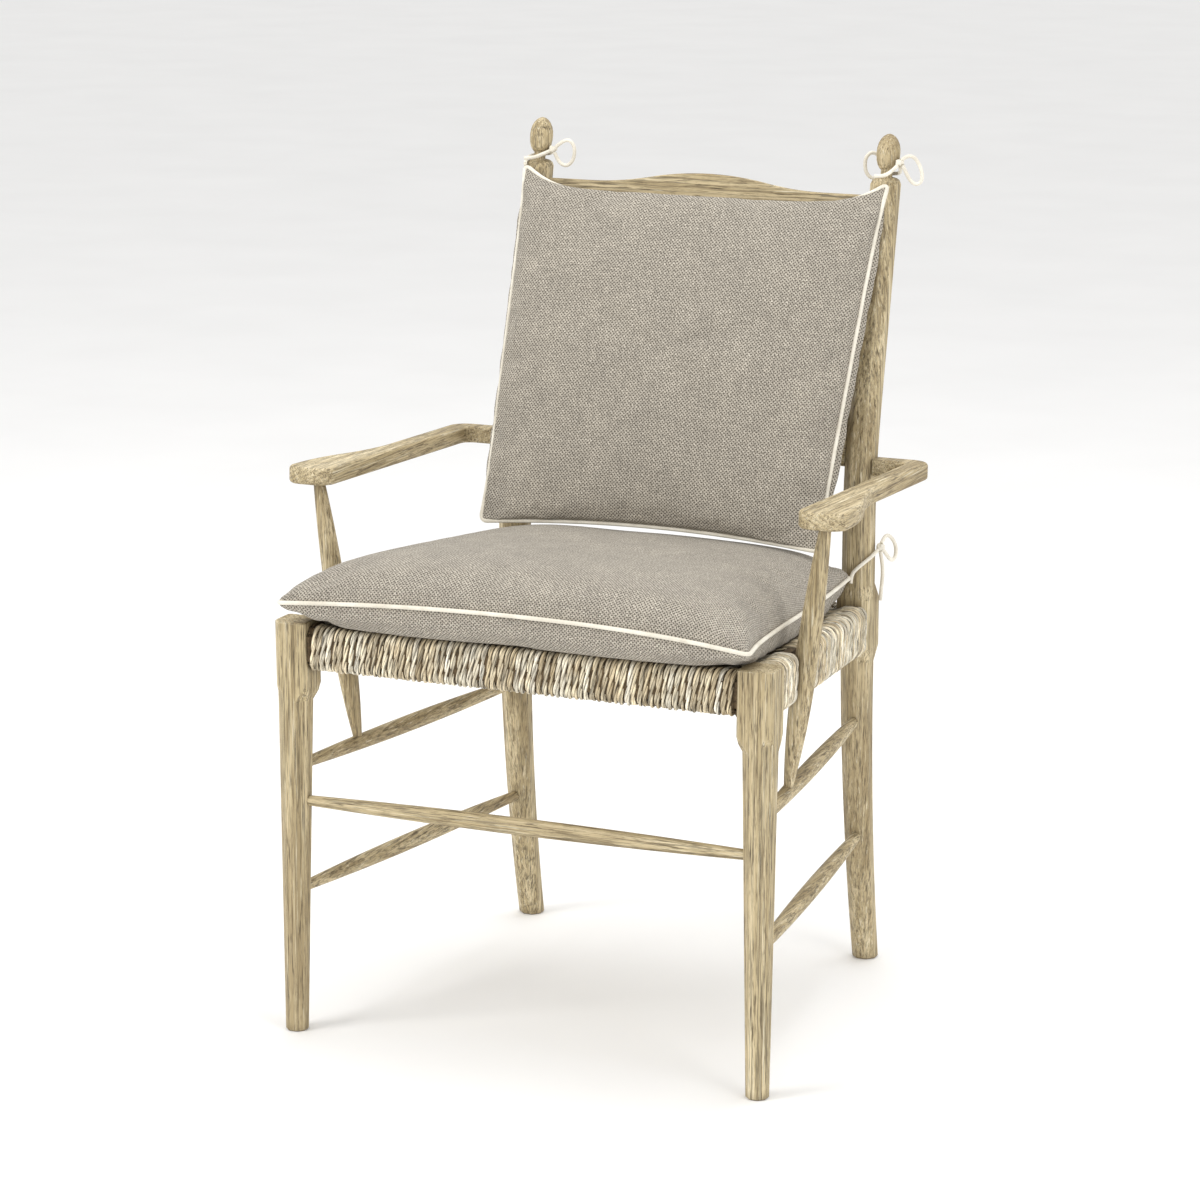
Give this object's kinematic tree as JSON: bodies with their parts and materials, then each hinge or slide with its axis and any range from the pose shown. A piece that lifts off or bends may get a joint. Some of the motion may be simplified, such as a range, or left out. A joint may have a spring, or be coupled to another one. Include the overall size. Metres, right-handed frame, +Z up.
{
  "type": "wooden armchair",
  "caption": "Ladder-back wooden armchair with a woven rush seat, flared arms on turned supports, egg finials, and piped seat and back cushions tied on with cords.",
  "frame": {"origin": "on the floor under the middle of the chair's overall box, on the centre plane", "axes": "+Z up, the chair faces -Y, +X to the sitter's left"},
  "size_m": [0.682, 0.6086, 0.9979],
  "materials": {
    "washed_wood": "open-grained, pale limed wash, dark in the grain and at the joints",
    "screw_steel": "plain wood screw",
    "rush": "twisted natural rush with pale and brown strands",
    "cushion_fabric": "warm grey linen weave",
    "cushion_filling": "polyester fibre wadding",
    "trim_cord": "cream cotton cord and piping"
  },
  "bodies": {
    "root": {"front_leg_left": "washed_wood", "front_leg_right": "washed_wood", "back_post_left": "washed_wood", "back_post_right": "washed_wood", "front_seat_rail": "washed_wood", "back_seat_rail": "washed_wood", "side_seat_rail_left": "washed_wood", "side_seat_rail_right": "washed_wood", "front_stretcher": "washed_wood", "upper_side_stretcher_left": "washed_wood", "upper_side_stretcher_right": "washed_wood", "lower_side_stretcher_left": "washed_wood", "lower_side_stretcher_right": "washed_wood", "arm_left": "washed_wood", "arm_right": "washed_wood", "arm_support_left": "washed_wood", "arm_support_right": "washed_wood", "crest_rail": "washed_wood", "middle_slat": "washed_wood", "lower_slat": "washed_wood", "arm_support_screws": "screw_steel", "rush_seat": "rush", "seat_cushion_cover": "cushion_fabric", "seat_cushion_filling": "cushion_filling", "seat_cushion_piping": "trim_cord", "back_cushion_cover": "cushion_fabric", "back_cushion_filling": "cushion_filling", "back_cushion_piping": "trim_cord", "tie_top_right_front_strand": "trim_cord", "tie_top_right_back_strand": "trim_cord", "tie_top_right_loop": "trim_cord", "tie_top_right_knot": "trim_cord", "tie_top_left_front_strand": "trim_cord", "tie_top_left_inner_loop": "trim_cord", "tie_top_left_outer_loop": "trim_cord", "tie_top_left_knot": "trim_cord", "tie_seat_left_strand": "trim_cord", "tie_seat_left_loop": "trim_cord", "tie_seat_left_tail": "trim_cord", "tie_seat_left_knot": "trim_cord"}
  },
  "joints": []
}
